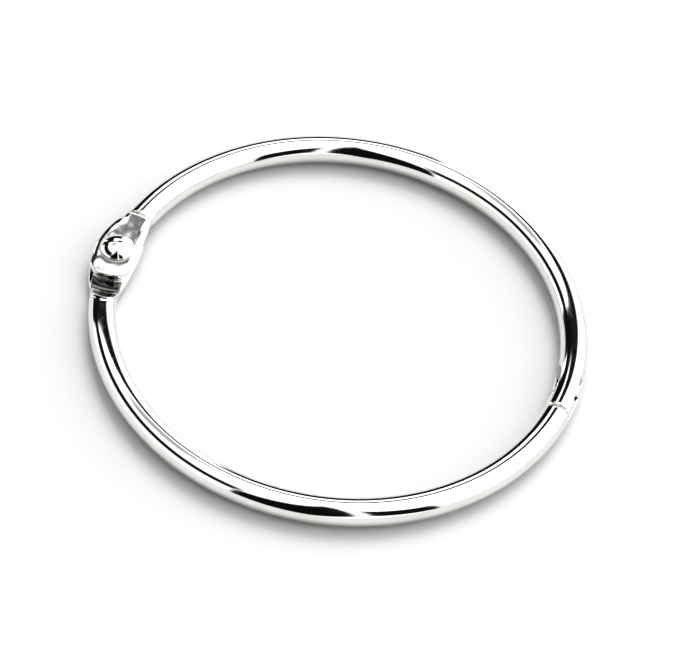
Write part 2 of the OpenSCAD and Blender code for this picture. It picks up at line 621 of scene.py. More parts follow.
@dataclass(kw_only=True)
class HalfRing:
    """Half of the ring: a spun tube, pressed at both ends by its dies.

    Its side is 1 when its paddle is the upper one, and -1 when it is turned over. Where its sections pass
    from flat to round, and from arcs to straight lines, is given by the distance from the rivet.
    """

    wire: Wire
    snap: SnapPlan
    hinge: HingeDie
    role: Role
    side: int
    bore_radius: float
    die: Die = field(init=False)
    around: int = 128
    longest_ray: float = 5.0 * MM
    shortest_aim: float = 1e-12
    halvings: int = 26
    wire_step: float = math.radians(1.5)
    hinge_step: float = 0.27 * MM
    edge_step: float = math.radians(11)
    flat_to: float = 4.3 * MM
    straight_from: float = 8.2 * MM
    round_from: float = 8.6 * MM
    hinge_end: float = 12.0 * MM
    wall_past_step: float = 0.07 * MM
    past_wall_steps: float = 0.06 * MM
    sliver: float = 3.0 * UM
    bore_segments: int = 120
    drill_length: float = 4.6 * MM
    sharp_angle: float = math.radians(60)

    def snap_stations(self) -> list[Station]:
        """Stations of this half's own side of the snap, from the plain wire to its end."""
        raise NotImplementedError

    def depth(self, x: Array, y: Array, z: Array) -> Array:
        """Depth of points inside this half ring.

        Args:
            x: X of the points.
            y: Y of the points.
            z: Z of the points.

        Returns:
            Depths, negative outside the metal.
        """
        at_hinge = self.hinge.depth(x, self.side * y, self.side * z)
        return np.where(x < 0, at_hinge, self.die.depth(x, y, z))

    def place(self, angle: Array, offset: Array) -> tuple[Array, Array]:
        """X and Y of points at an angle from the rivet and an offset from the centre line."""
        radius = self.wire.mid_radius + offset
        return -radius * np.cos(angle), self.side * radius * np.sin(angle)

    def square(self, y: float) -> SquareLine:
        """Line of constant Y across the snap."""
        return SquareLine(self.wire, y, self.side)

    def across(self, y: float) -> AcrossLine:
        """Line straight across the wire where its centre line has this Y, at the snap."""
        return AcrossLine(math.pi - self.side * math.asin(y / self.wire.mid_radius))

    def reach(self, station: Station, across: Array, up: Array) -> Array:
        """How far rays from a station's core run before they leave the metal.

        Args:
            station: Where the rays lie.
            across: Outward part of each ray's direction.
            up: Upward part of each ray's direction.

        Returns:
            Length of each ray, in units of its direction.
        """
        size = np.maximum(np.hypot(across, up), self.shortest_aim)
        near, far = np.zeros_like(size), self.longest_ray / size
        for _ in range(self.halvings):
            half = (near + far) / 2
            offset = half * across
            x, y = self.place(station.line.angle(offset), offset)
            inside = self.depth(x, y, station.core + half * up) > 0
            near, far = np.where(inside, half, near), np.where(inside, far, half)
        return (near + far) / 2

    def bar_aims(self, station: Station, turn: Array) -> tuple[Array, Array]:
        """Aims spaced evenly round a bar with round sides that fits the section there.

        Args:
            station: The section's station.
            turn: Turn of each vertex round the wire, in radians from its outer side.

        Returns:
            Outward and upward part of each aim.
        """
        axes_across, axes_up = np.array([1.0, -1.0, 0.0, 0.0]), np.array([0.0, 0.0, 1.0, -1.0])
        outer, inner, top, foot = self.reach(station, axes_across, axes_up)
        top, foot = min(top, station.fit_height), min(foot, station.fit_height)
        width = np.where(np.cos(turn) >= 0, outer, inner)
        height = np.where(np.sin(turn) >= 0, top, foot)
        flat = np.maximum(width - height, 0.0)
        arc = height * math.pi / 2
        along = np.arcsin(np.abs(np.sin(turn))) / (math.pi / 2) * (flat + arc)
        bend = np.minimum(along / height, math.pi / 2)
        end = width - flat
        across = np.where(along < arc, flat + end * np.cos(bend), flat - (along - arc))
        rise = height * np.sin(bend)
        return np.sign(np.cos(turn)) * across, np.sign(np.sin(turn)) * rise

    def section(self, station: Station) -> Array:
        """Places one ring of vertices on the pressed metal.

        Args:
            station: The ring's station.

        Returns:
            One row of X, Y and Z for each vertex, in order round the wire.
        """
        turn = np.arange(self.around) * 2 * math.pi / self.around
        across = self.wire.radius * np.cos(turn)
        up = self.wire.radius * np.sin(turn) - station.core
        if station.fit > 0:
            bar_across, bar_up = self.bar_aims(station, turn)
            across = (1 - station.fit) * across + station.fit * bar_across
            up = (1 - station.fit) * up + station.fit * bar_up
        length = self.reach(station, across, up)
        offset = length * across
        height = station.core + length * up * (0.0 if station.closes else 1.0)
        x, y = self.place(station.line.angle(offset), offset)
        return np.column_stack([x, y, height])

    def hinge_stations(self) -> list[Station]:
        """Places the rings of vertices of the hinge end.

        Returns:
            Stations from the paddle's free end to the plain wire.
        """
        die = self.hinge
        end, rim = self.sliver - die.reach, die.thickness / 2
        turns = spread(0.0, math.pi / 2, self.edge_step)
        distances = [end + die.end_edge * (1 - math.cos(turn)) for turn in turns]
        distances += spread(end + die.end_edge, self.hinge_end, self.hinge_step)[1:]
        distances = around_wall(distances, die.step + self.wall_past_step)
        core = self.side * die.middle
        stations = [Station(RivetLine(self.wire, end), core, 1.0, rim, closes=True)]
        for distance in distances:
            across = AcrossLine(2 * math.asin(distance / 2 / self.wire.mid_radius))
            straight = float(eased(distance, self.straight_from, self.hinge_end))
            line = MixedLine(RivetLine(self.wire, distance), across, straight)
            flat = 1 - float(eased(distance, self.flat_to, self.round_from))
            stations.append(Station(line, core * flat, flat, rim))
        return stations

    def stations(self) -> list[Station]:
        """Places all rings of vertices of the half ring.

        Returns:
            Stations from the paddle's free end to the snap's tip.
        """
        hinge, snap = self.hinge_stations(), self.snap_stations()
        centre = np.zeros(1)
        start = float(hinge[-1].line.angle(centre)[0])
        end = float(snap[0].line.angle(centre)[0])
        middle = [Station(AcrossLine(angle)) for angle in spread(start, end, self.wire_step)[1:-1]]
        return hinge + middle + snap

    def drill(self, piece: bpy.types.Object) -> None:
        """Cuts the rivet's bore through the paddle and leaves its edges sharp.

        Args:
            piece: The forged half ring, whose mesh is changed.
        """
        bm = bmesh.new()
        bmesh.ops.create_cone(
            bm,
            cap_ends=True,
            segments=self.bore_segments,
            radius1=self.bore_radius,
            radius2=self.bore_radius,
            depth=self.drill_length,
        )
        bmesh.ops.translate(bm, verts=bm.verts[:], vec=(-self.wire.mid_radius, 0, 0))
        drill = finished_piece("drill", bm)
        cut = piece.modifiers.new("bore", "BOOLEAN")
        cut.operation, cut.solver, cut.object = "DIFFERENCE", "EXACT", drill
        bpy.context.view_layer.update()
        evaluated = piece.evaluated_get(bpy.context.evaluated_depsgraph_get())
        bored = bpy.data.meshes.new_from_object(evaluated)
        piece.modifiers.clear()
        bpy.data.meshes.remove(drill.data)
        bm = bmesh.new()
        bm.from_mesh(bored)
        bpy.data.meshes.remove(bored)
        for edge in bm.edges:
            edge.smooth = edge.is_manifold and edge.calc_face_angle() < self.sharp_angle
        bm.to_mesh(piece.data)
        bm.free()

    def build(self) -> bpy.types.Object:
        """Spins the plain tube, presses each ring of vertices to its section and closes the ends.

        Returns:
            The finished half ring.
        """
        stations = self.stations()
        sections = [self.section(station) for station in stations]
        bm = bmesh.new()
        ring = bmesh.ops.create_circle(bm, segments=self.around, radius=self.wire.radius)["verts"]
        upright = Matrix.Rotation(math.pi / 2, 3, "X")
        bmesh.ops.rotate(bm, verts=ring, cent=(0, 0, 0), matrix=upright)
        bmesh.ops.translate(bm, verts=ring, vec=(self.wire.mid_radius, 0, 0))
        bmesh.ops.spin(
            bm,
            geom=bm.verts[:] + bm.edges[:],
            cent=(0, 0, 0),
            axis=(0, 0, 1),
            angle=SPIN_ANGLE,
            steps=len(stations) - 1,
            use_merge=False,
        )
        for vert in bm.verts:
            lap = math.atan2(vert.co.y, vert.co.x) / SPIN_ANGLE
            row = round(lap * (len(stations) - 1))
            outward = math.hypot(vert.co.x, vert.co.y) - self.wire.mid_radius
            turn = math.atan2(vert.co.z, outward) / (2 * math.pi)
            vert.co = sections[row][round(turn * self.around) % self.around]
        bmesh.ops.remove_doubles(bm, verts=bm.verts[:], dist=MERGE_DISTANCE)
        open_edges = [edge for edge in bm.edges if edge.is_boundary]
        if open_edges:
            bmesh.ops.contextual_create(bm, geom=open_edges)
        bmesh.ops.recalc_face_normals(bm, faces=bm.faces[:])
        piece = finished_piece(self.role.piece, bm)
        self.drill(piece)
        return piece

    def dress(self, piece: bpy.types.Object) -> None:
        """Plates the half ring and ties it to the frame."""
        plate(piece, self.role, Grain.DRAWN)


@dataclass(kw_only=True)
class SocketHalf(HalfRing):
    """Half ring that ends in the socket of the snap and carries the upper paddle."""

    role: Role = Role("socket_forging", "socket_half", "socket_side", "socket_plating", "socket_nickel")
    side: int = 1
    bore_radius: float = 1.2 * MM
    die: SocketDie = field(init=False)
    lead_in: Span = (1.2 * MM, 0.6 * MM)
    before_seam: float = 0.12 * MM
    roof_step: float = 0.25 * MM
    lip_step: float = 0.22 * MM
    steepest: float = math.radians(86.5)
    arc_step: float = math.radians(5)
    face_turn: float = math.radians(10)

    def __post_init__(self) -> None:
        """Makes the socket's die."""
        self.die = SocketDie(self.wire, self.snap)

    def snap_stations(self) -> list[Station]:
        """Places the rings of vertices along the socket.

        Returns:
            Stations from the plain wire along the pocket's round end, its roof and the lip to the seam.
        """
        snap, die = self.snap, self.die
        core = (die.roof_low + self.wire.radius) / 2
        away = WALL_STEPS[-1] + self.past_wall_steps
        places = [snap.pocket_y + step for step in (*self.lead_in, away, *reversed(WALL_STEPS))]
        turns = spread(self.steepest, 0.0, self.arc_step)
        places += [die.arc_y + die.pocket_radius * math.sin(turn) for turn in turns]
        places += spread(die.arc_y, snap.lip_y + away, self.roof_step)[1:]
        places += reversed(around_wall([], snap.lip_y))
        lines: list[Line] = [self.square(y) for y in places]
        last = snap.seam_y + die.face_edge + self.before_seam
        for y in spread(snap.lip_y - away, last, self.lip_step):
            share = float(eased(snap.lip_y - y, away, snap.lip_y - last))
            lines.append(MixedLine(self.square(y), self.across(y), share))
        seam = math.pi - self.side * snap.seam_angle
        for turn in spread(0.0, math.pi / 2, self.face_turn):
            back = max(die.face_edge * (1 - math.sin(turn)), self.sliver / 2)
            lines.append(AcrossLine(seam - back / self.wire.mid_radius))
        return [Station(line, core) for line in lines]


@dataclass(kw_only=True)
class TongueHalf(HalfRing):
    """Half ring that ends in the barbed tongue of the snap and carries the lower paddle."""

    role: Role = Role("tongue_forging", "tongue_half", "tongue_side", "tongue_plating", "tongue_nickel")
    side: int = -1
    bore_radius: float = 1.25 * MM
    die: TongueDie = field(init=False)
    lead_in: tuple[float, ...] = (1.4 * MM, 0.9 * MM, 0.5 * MM)
    rim_turn: float = 1.45
    rim_step: float = math.radians(10)
    neck_step: float = 0.25 * MM
    head_step: float = 0.2 * MM
    nose_step: float = math.radians(9)
    round_past_barb: float = 1.2 * MM
    tip_reach: float = 0.1 * MM
    tip_halvings: int = 30

    def __post_init__(self) -> None:
        """Makes the tongue's die."""
        self.die = TongueDie(self.wire, self.snap)

    def tip(self) -> float:
        """Finds where the metal of the nose ends, at the height of its middle.

        Returns:
            Y of the last point inside the nose.
        """
        inside, outside = self.snap.barb_y, self.snap.nose_y + self.tip_reach
        x, z = np.array([self.wire.mid_radius]), np.array([self.die.nose_height])
        for _ in range(self.tip_halvings):
            middle = (inside + outside) / 2
            in_metal = bool(self.depth(x, np.array([middle]), z)[0] > 0)
            inside, outside = (middle, outside) if in_metal else (inside, middle)
        return inside

    def snap_stations(self) -> list[Station]:
        """Places the rings of vertices along the tongue.

        Returns:
            Stations from the plain wire past the shoulder and along the neck and head to the nose.
        """
        snap, die = self.snap, self.die
        mid, away = self.wire.mid_radius, WALL_STEPS[-1] + self.past_wall_steps
        shoulder = math.pi - self.side * snap.shoulder_angle
        core = die.nose_height
        turns = spread(0.0, self.rim_turn, self.rim_step)
        rim = [die.shoulder_edge * (1 - math.sin(turn)) for turn in turns]
        pasts = [-back for back in (*self.lead_in, *rim)] + WALL_STEPS[:-1]
        stations = [Station(AcrossLine(shoulder + past / mid), core) for past in pasts]
        first = mid * math.sin(snap.shoulder_angle) + away
        last = snap.barb_y - away
        for y in spread(first, last, self.neck_step):
            share = float(eased(y, first, last))
            stations.append(Station(MixedLine(self.across(y), self.square(y), share), core))
        tip = self.tip()
        nose = tip - die.nose_radius
        places = around_wall([], snap.barb_y)
        places += spread(snap.barb_y + away, nose, self.head_step)
        turns = spread(0.0, math.pi / 2, self.nose_step)[1:-1]
        places += [nose + die.nose_radius * math.sin(turn) for turn in turns]
        for y in places:
            fit = float(eased(y, snap.barb_y + self.round_past_barb, nose))
            stations.append(Station(self.square(y), core, fit))
        stations.append(Station(self.square(tip - self.sliver / 2), core, 1.0, closes=True))
        return stations


@dataclass(frozen=True)
class HingeRivet:
    """Rivet with a low domed head above the paddles and a flattened tail below them."""

    role: Role = Role("rivet", "hinge_rivet", "socket_side", "rivet_plating", "rivet_nickel")
    x: float = -27.0 * MM
    around: int = 192
    shank_radius: float = 1.2 * MM
    paddle_high: float = 1.2 * MM
    tail_top: float = -1.25 * MM
    tail_low: float = -1.75 * MM
    tail_radius: float = 1.75 * MM
    tail_edge: float = 0.2 * MM
    tail_dish: float = 0.05 * MM
    head_radius: float = 1.95 * MM
    rim_height: float = 0.15 * MM
    rim_edge: float = 0.07 * MM
    dome_height: float = 1.0 * MM
    dome_points: int = 28
    dish_share: float = 0.45
    ring_share: float = 0.72
    bevel_segments: int = 5

    def profile(self) -> list[tuple[float, float]]:
        """Draws half of the rivet's outline.

        Returns:
            Radius and height of its points, from the tail to the crown.
        """
        top = self.paddle_high + self.rim_height
        dome = (self.head_radius**2 + self.dome_height**2) / (2 * self.dome_height)
        centre = top + self.dome_height - dome
        span = math.asin(self.head_radius / dome)
        points = [(0.0, self.tail_low + self.tail_dish)]
        points += [(self.tail_radius * self.dish_share, self.tail_low + self.tail_dish)]
        points += [(self.tail_radius * self.ring_share, self.tail_low)]
        points += [(self.tail_radius, self.tail_low), (self.tail_radius, self.tail_top)]
        points += [(self.shank_radius, self.tail_top), (self.shank_radius, self.paddle_high)]
        points += [(self.head_radius, self.paddle_high)]
        for angle in spread(span, 0.0, span / self.dome_points):
            points.append((dome * math.sin(angle), centre + dome * math.cos(angle)))
        return points

    def build(self) -> bpy.types.Object:
        """Spins the outline, closes it and rounds its edges.

        Returns:
            The finished rivet.
        """
        bm = bmesh.new()
        outline = [bm.verts.new((self.x + radius, 0.0, z)) for radius, z in self.profile()]
        edges = [bm.edges.new(pair) for pair in zip(outline, outline[1:])]
        bmesh.ops.spin(
            bm,
            geom=outline + edges,
            cent=(self.x, 0, 0),
            axis=(0, 0, 1),
            angle=math.tau,
            steps=self.around,
            use_merge=True,
        )
        bmesh.ops.remove_doubles(bm, verts=bm.verts[:], dist=MERGE_DISTANCE)
        bmesh.ops.recalc_face_normals(bm, faces=bm.faces[:])
        self.round_edges(bm, self.tail_low, self.tail_radius, self.tail_edge)
        self.round_edges(bm, self.tail_top, self.tail_radius, self.tail_edge / 2)
        self.round_edges(bm, self.paddle_high, self.head_radius, self.rim_edge)
        self.round_edges(bm, self.paddle_high + self.rim_height, self.head_radius, self.rim_edge)
        bmesh.ops.recalc_face_normals(bm, faces=bm.faces[:])
        return finished_piece(self.role.piece, bm)

    def round_edges(self, bm: bmesh.types.BMesh, height: float, radius: float, size: float) -> None:
        """Bevels the edges of the circle at one height and radius.

        Args:
            bm: The rivet's mesh.
            height: Z of the circle.
            radius: Radius of the circle.
            size: Width of the bevel.
        """

        def on_circle(vert: bmesh.types.BMVert) -> bool:
            """Whether a vertex lies on the circle."""
            away = math.hypot(vert.co.x - self.x, vert.co.y) - radius
            return max(abs(away), abs(vert.co.z - height)) < 2 * MERGE_DISTANCE

        ring = [edge for edge in bm.edges if all(on_circle(vert) for vert in edge.verts)]
        bmesh.ops.bevel(
            bm,
            geom=ring,
            offset=size,
            offset_type="OFFSET",
            segments=self.bevel_segments,
            profile=0.5,
            affect="EDGES",
            material=-1,
        )

    def dress(self, piece: bpy.types.Object) -> None:
        """Plates the rivet and ties it to the frame."""
        plate(piece, self.role, Grain.TURNED)


def finished_piece(name: str, bm: bmesh.types.BMesh) -> bpy.types.Object:
    """Turns a bmesh into a smooth-shaded object at the origin.

    Args:
        name: Name of the piece.
        bm: Its mesh, which is freed.

    Returns:
        The new object.
    """
    mesh = bpy.data.meshes.new(name)
    bm.to_mesh(mesh)
    bm.free()
    mesh.shade_smooth()
    piece = bpy.data.objects.new(name, mesh)
    bpy.context.scene.collection.objects.link(piece)
    return piece


# --- Shader maths ---


Input = Union["Signal", float, int, tuple]
# Places of a Mix node's sockets for two colours and the mixed one.
MIX_FIRST, MIX_SECOND, MIX_RESULT = 6, 7, 2


@dataclass(frozen=True)
class Signal:
    """A value on a node's output socket. Plain arithmetic on it adds Math nodes."""

    graph: "Graph"
    socket: bpy.types.NodeSocket

    def math(self, operation: str, *others: Input) -> "Signal":
        """Adds a Math node that starts with this value."""
        return self.graph.node("ShaderNodeMath", {"operation": operation}, dict(enumerate((self, *others))))

    def __add__(self, other: Input) -> "Signal":
        """This value plus another."""
        return self.math("ADD", other)

    __radd__ = __add__

    def __sub__(self, other: Input) -> "Signal":
        """This value less another."""
        return self.math("SUBTRACT", other)

    def __rsub__(self, other: Input) -> "Signal":
        """Another value less this one."""
        return self * -1.0 + other

    def __mul__(self, other: Input) -> "Signal":
        """This value times another."""
        return self.math("MULTIPLY", other)

    __rmul__ = __mul__

    def __pow__(self, other: Input) -> "Signal":
        """This value to a power."""
        return self.math("POWER", other)

    def __abs__(self) -> "Signal":
        """This value without its sign."""
        return self.math("ABSOLUTE")

    def step(self, start: float, end: float) -> "Signal":
        """Runs smoothly from 0 at start to 1 at end."""
        settings = {"interpolation_type": "SMOOTHSTEP", "clamp": True}
        inputs = {"Value": self, "From Min": start, "From Max": end}
        return self.graph.node("ShaderNodeMapRange", settings, inputs)

    def least(self, other: Input) -> "Signal":
        """The smaller of this value and another."""
        return self.math("MINIMUM", other)

    def most(self, other: Input) -> "Signal":
        """The larger of this value and another."""
        return self.math("MAXIMUM", other)


@dataclass(frozen=True)
class Waves:
    """Make-up of a smooth noise: waves in one unit, octaves of finer noise and the weight of each."""

    scale: float
    detail: float = 2.0
    rough: float = 0.5


@dataclass(frozen=True)
class Graph:
    """A node tree that a finish or the studio's sky is drawn in."""

    tree: bpy.types.NodeTree

    def node(
        self,
        kind: str,
        settings: dict[str, object],
        inputs: dict[Union[str, int], Input],
        output: Union[str, int] = 0,
    ) -> Signal:
        """Adds a node.

        Args:
            kind: The node's type.
            settings: Its properties, which are set before its sockets.
            inputs: Numbers, colours or signals for its sockets, by name or place.
            output: Name or place of the output socket that is handed back.

        Returns:
            The chosen output.
        """
        node = self.tree.nodes.new(kind)
        for name, value in settings.items():
            setattr(node, name, value)
        for name, value in inputs.items():
            if isinstance(value, Signal):
                self.tree.links.new(value.socket, node.inputs[name])
            else:
                node.inputs[name].default_value = value
        return Signal(self, node.outputs[output])

    def finish(self, kind: str, shader: Signal) -> None:
        """Adds the tree's output node and links a shader to it."""
        node = self.tree.nodes.new(kind)
        self.tree.links.new(shader.socket, node.inputs["Surface"])

    def axes(self, vector: Signal) -> list[Signal]:
        """Splits a vector into its X, Y and Z."""
        names = ("X", "Y", "Z")
        return [self.node("ShaderNodeSeparateXYZ", {}, {"Vector": vector}, n) for n in names]

    def noise(self, vector: Signal, waves: Waves) -> Signal:
        """Smooth noise between 0 and 1, read at a vector."""
        inputs = {"Vector": vector, "Scale": waves.scale, "Detail": waves.detail, "Roughness": waves.rough}
        return self.node("ShaderNodeTexNoise", {"noise_dimensions": "3D"}, inputs)

    def blend(self, share: Input, first: Input, second: Input) -> Signal:
        """Mixes two colours."""
        inputs = {"Factor": share, MIX_FIRST: first, MIX_SECOND: second}
        settings = {"data_type": "RGBA", "clamp_factor": True}
        return self.node("ShaderNodeMix", settings, inputs, MIX_RESULT)

    def bump(self, height: Signal, distance: float, under: Union[Signal, None] = None) -> Signal:
        """Adds relief.

        Args:
            height: Height of the relief, in units of the distance.
            distance: Height in metres that 1 stands for.
            under: A normal that this relief lies on, if there is one.

        Returns:
            The new normal.
        """
        inputs: dict[Union[str, int], Input] = {"Height": height, "Distance": distance, "Strength": 1.0}
        if under is not None:
            inputs["Normal"] = under
        return self.node("ShaderNodeBump", {}, inputs)


# --- Finishes ---


class Grain(Enum):
    """Ways that the metal under the plating was worked."""

    DRAWN = "drawn and stamped"
    TURNED = "turned and headed"


@dataclass(frozen=True)
class Place:
    """Where a shaded point is, as signals in millimetres."""

    point: Signal
    x: Signal
    y: Signal
    z: Signal
    from_rivet: Signal


@dataclass(frozen=True)
class Zones:
    """Where a piece is finished otherwise: distances from the rivet's axis and heights, in millimetres.

    Each pair is where a zone fades in or out, and a pair called fade counts from the value above it. The
    two called side are products of Y and Z in square millimetres, which are largest on a half's outer
    face and fall towards the far side of its wire.
    """

    rivet_x: float = -27.0
    outer_faces: Span = (0.95, 1.05)
    struck_end: Span = (5.7, 6.3)
    head_foot: float = 1.2
    head_foot_fade: Span = (0.02, 0.09)
    head_rim: float = 1.98
    head_rim_fade: Span = (0.03, 0.16)
    head_rim_height: Span = (1.05, 1.15)
    shank_end: Span = (0.9, 1.1)
    slot_start: Span = (4.06, 4.18)
    slot_end: Span = (5.8, 6.05)
    slot_side: Span = (0.3, 1.6)
    slope_start: Span = (5.9, 6.1)
    slope_end: Span = (6.8, 7.2)
    slope_side: Span = (-4.5, -2.5)


@dataclass(frozen=True)
class Tones:
    """Colours of the plating and of the shade painted into it, and how far each cause turns one into the
    next.
    """

    bright: Colour = (0.83, 0.82, 0.80, 1.0)
    warm: Colour = (0.74, 0.71, 0.66, 1.0)
    # Dull tone of the random specks, and of the shade painted round the rivet's head.
    dull_and_shade: Colour = (0.42, 0.41, 0.39, 1.0)
    # Nearly black colour of the shade painted in the slot, on the shoulder's slope and on the rivet's
    # shank.
    in_slot_shade: Colour = (0.06, 0.058, 0.056, 1.0)
    broad: Waves = Waves(0.16, 3.0, 0.55)
    broad_fade: Span = (0.42, 0.75)
    broad_share: float = 0.7
    cloud_fade: Span = (0.5, 0.8)
    cloud_share: float = 0.3
    head_shade_share: float = 0.75
    speck_share: float = 0.12
    # Shares of the painted shade in the slot: its own, what the cloud adds, and its share on the shoulder's
    # slope.
    slot_shade_share: float = 0.86
    slot_shade_cloud: float = 0.14
    slope_shade_share: float = 0.92


@dataclass(frozen=True)
class Sheen:
    """Roughness of the polished plating, and what each cause adds to it.

    Of these, head_struck is how far the rivet's head and tail count as struck.
    """

    polish: float = 0.045
    haze: float = 0.05
    haze_fade: Span = (0.45, 0.85)
    specks: float = 0.05
    head_shade: float = 0.25
    grit: float = 0.02
    struck: float = 0.085
    head_struck: float = 0.2
    # Roughness added where shade is painted in the slot.
    in_slot_shade: float = 0.06


@dataclass(frozen=True)
class Relief:
    """Waves and fine marks of the surface, per millimetre, with their depths in metres.

    The rate of the turned rings is in radians. Shares are the marks' weights in the finest relief.
    """

    wave: Waves = Waves(0.11)
    wave_depth: float = 0.036 * MM
    ripple: Waves = Waves(0.45)
    ripple_depth: float = 0.006 * MM
    ripple_elsewhere: float = 0.35
    mark_depth: float = 0.0012 * MM
    grain: Waves = Waves(2.2, 3.0, 0.6)
    grain_elsewhere: float = 0.3
    turned_grain: float = 0.5
    ring_rate: float = 38.0
    ring_share: float = 0.12
    lines: Waves = Waves(1.0)
    lines_per_mm: float = 9.0
    line_share: float = 0.12


@dataclass(frozen=True)
class Plating:
    """Bright nickel plating over steel, with the marks of how the steel was worked and shade painted into
    its colour.
    """

    name: str
    grain: Grain
    zones: Zones = Zones()
    tones: Tones = Tones()
    sheen: Sheen = Sheen()
    relief: Relief = Relief()
    cloud: Waves = Waves(0.9, 3.0, 0.6)
    grit: Waves = Waves(9.0, 4.0, 0.7)
    specks: Waves = Waves(3.1)
    speck_fade: Span = (0.70, 0.78)

    def place(self, graph: Graph) -> Place:
        """Reads where the shaded point is.

        Args:
            graph: The material's node tree.

        Returns:
            The point's signals, in the object's frame.
        """
        point = graph.node("ShaderNodeTexCoord", {}, {}, "Object")
        inputs = {"Vector": point, "Scale": 1 / MM}
        point = graph.node("ShaderNodeVectorMath", {"operation": "SCALE"}, inputs)
        x, y, z = graph.axes(point)
        from_rivet = ((x - self.zones.rivet_x) ** 2.0 + y * y) ** 0.5
        return Place(point, x, y, z, from_rivet)

    def build(self) -> bpy.types.Material:
        """Draws the finish.

        Returns:
            The material.
        """
        material = bpy.data.materials.new(self.name)
        material.use_nodes = True
        material.node_tree.nodes.clear()
        graph = Graph(material.node_tree)
        place = self.place(graph)
        tones, sheen, relief = self.tones, self.sheen, self.relief
        # thin is where shade is painted nearly black in the slot; the head's mask is shade painted round
        # the rivet's head.
        faces, head_shade_mask, thin = self.struck_faces(place), self.head_shade(place), self.painted_slot_shade(place)
        broad = graph.noise(place.point, tones.broad).step(*tones.broad_fade)
        cloud = graph.noise(place.point, self.cloud)
        specks = graph.noise(place.point, self.specks).step(*self.speck_fade)
        warmth = broad * tones.broad_share + cloud.step(*tones.cloud_fade) * tones.cloud_share
        colour = graph.blend(warmth, tones.bright, tones.warm)
        # Painted shade round the rivet's head, together with dull specks of random tone.
        specks_and_shade = head_shade_mask * tones.head_shade_share + specks * tones.speck_share
        colour = graph.blend(specks_and_shade, colour, tones.dull_and_shade)
        # Shade painted nearly black in the slot past the other paddle, on the shoulder's slope and on the
        # rivet's shank.
        colour = graph.blend(thin * (tones.slot_shade_share + cloud * tones.slot_shade_cloud), colour, tones.in_slot_shade)
        rough = sheen.polish + sheen.haze * cloud.step(*sheen.haze_fade)
        rough = rough + specks * sheen.specks + head_shade_mask * sheen.head_shade
        rough = rough + graph.noise(place.point, self.grit) * sheen.grit
        rough = rough + faces * sheen.struck + thin * sheen.in_slot_shade
        ripple = graph.noise(place.point, relief.ripple) * (relief.ripple_elsewhere + faces)
        normal = graph.bump(graph.noise(place.point, relief.wave), relief.wave_depth)
        normal = graph.bump(ripple, relief.ripple_depth, normal)
        normal = graph.bump(self.marks(graph, place, faces), relief.mark_depth, normal)
        inputs = {"Base Color": colour, "Metallic": 1.0, "Roughness": rough, "Normal": normal}
        graph.finish("ShaderNodeOutputMaterial", graph.node("ShaderNodeBsdfPrincipled", {}, inputs))
        return material

    def struck_faces(self, place: Place) -> Signal:
        """The faces that the dies struck: the outer ones of the paddles, or the rivet's head and tail.

        Args:
            place: The shaded point.

        Returns:
            How much the point was struck, from 0 to 1.
        """
        outer = abs(place.z).step(*self.zones.outer_faces)
        if self.grain is Grain.TURNED:
            return outer * self.sheen.head_struck
        return (1.0 - place.from_rivet.step(*self.zones.struck_end)) * outer

    def head_shade(self, place: Place) -> Signal:
        """Where shade is painted into the colour and roughness raised: round the rivet, and at the foot of
        its head.

        Args:
            place: The shaded point.

        Returns:
            1 where the shade is painted and 0 elsewhere.
        """
        zones = self.zones
        if self.grain is Grain.TURNED:
            return 1.0 - abs(place.z - zones.head_foot).step(*zones.head_foot_fade)
        ring = 1.0 - abs(place.from_rivet - zones.head_rim).step(*zones.head_rim_fade)
        return ring * abs(place.z).step(*zones.head_rim_height)

    def painted_slot_shade(self, place: Place) -> Signal:
        """Shade painted nearly black into the colour, in the slot past the other half's paddle where shade
        falls.

        Args:
            place: The shaded point.

        Returns:
            1 on the slot's floor and the rivet's shank, nearly 1 in a narrow band across the shoulder's
            slope, under a half on the paddle's own free end, and 0 elsewhere.
        """
        zones = self.zones
        if self.grain is Grain.TURNED:
            return 1.0 - abs(place.z).step(*zones.shank_end)
        past, side = place.from_rivet, place.y * place.z
        slot = past.step(*zones.slot_start) * (1.0 - past.step(*zones.slot_end))
        slope = past.step(*zones.slope_start) * (1.0 - past.step(*zones.slope_end)) * self.tones.slope_shade_share
        return slot * (1.0 - side.step(*zones.slot_side)) + slope * (1.0 - side.step(*zones.slope_side))

    def marks(self, graph: Graph, place: Place, faces: Signal) -> Signal:
        """Fine marks of the tools.

        Args:
            graph: The material's node tree.
            place: The shaded point.
            faces: Share of the struck faces.

        Returns:
            Heights up to 1.3: a grain, strongest on struck faces, with draw lines along the wire or with
            turned rings.
        """
        relief = self.relief
        grain = graph.noise(place.point, relief.grain)
        if self.grain is Grain.TURNED:
            rings = (place.from_rivet * relief.ring_rate).math("SINE") * 0.5 + 0.5
            return grain * relief.turned_grain + rings * relief.ring_share
        from_axis = (place.x * place.x + place.y * place.y) ** 0.5
        inputs = {"X": from_axis * relief.lines_per_mm, "Y": place.z * relief.lines_per_mm, "Z": 0.0}
        lines = graph.noise(graph.node("ShaderNodeCombineXYZ", {}, inputs), relief.lines)
        return grain * (relief.grain_elsewhere + faces) + lines * (1.0 - faces) * relief.line_share


def plate(piece: bpy.types.Object, role: Role, grain: Grain) -> None:
    """Plates a piece and ties it to the frame.

    Args:
        piece: The piece.
        role: The names of its node, body, slot and material.
        grain: How its metal was worked.
    """
    piece.data.materials.clear()
    piece.data.materials.append(Plating(role.material, grain).build())
    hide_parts(role.node)
    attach(piece, role.body)


# --- Studio ---


@dataclass(frozen=True)
class Outlook:
    """A direction in the tent, as signals: its unit vector and its two angles in degrees."""

    x: Signal
    y: Signal
    z: Signal
    azimuth: Signal
    elevation: Signal

    def past(self, azimuth: Input) -> Signal:
        """Degrees by which the direction's azimuth is past another, from -180 to 180."""
        return (self.azimuth - azimuth).math("WRAP", 180.0, -180.0)


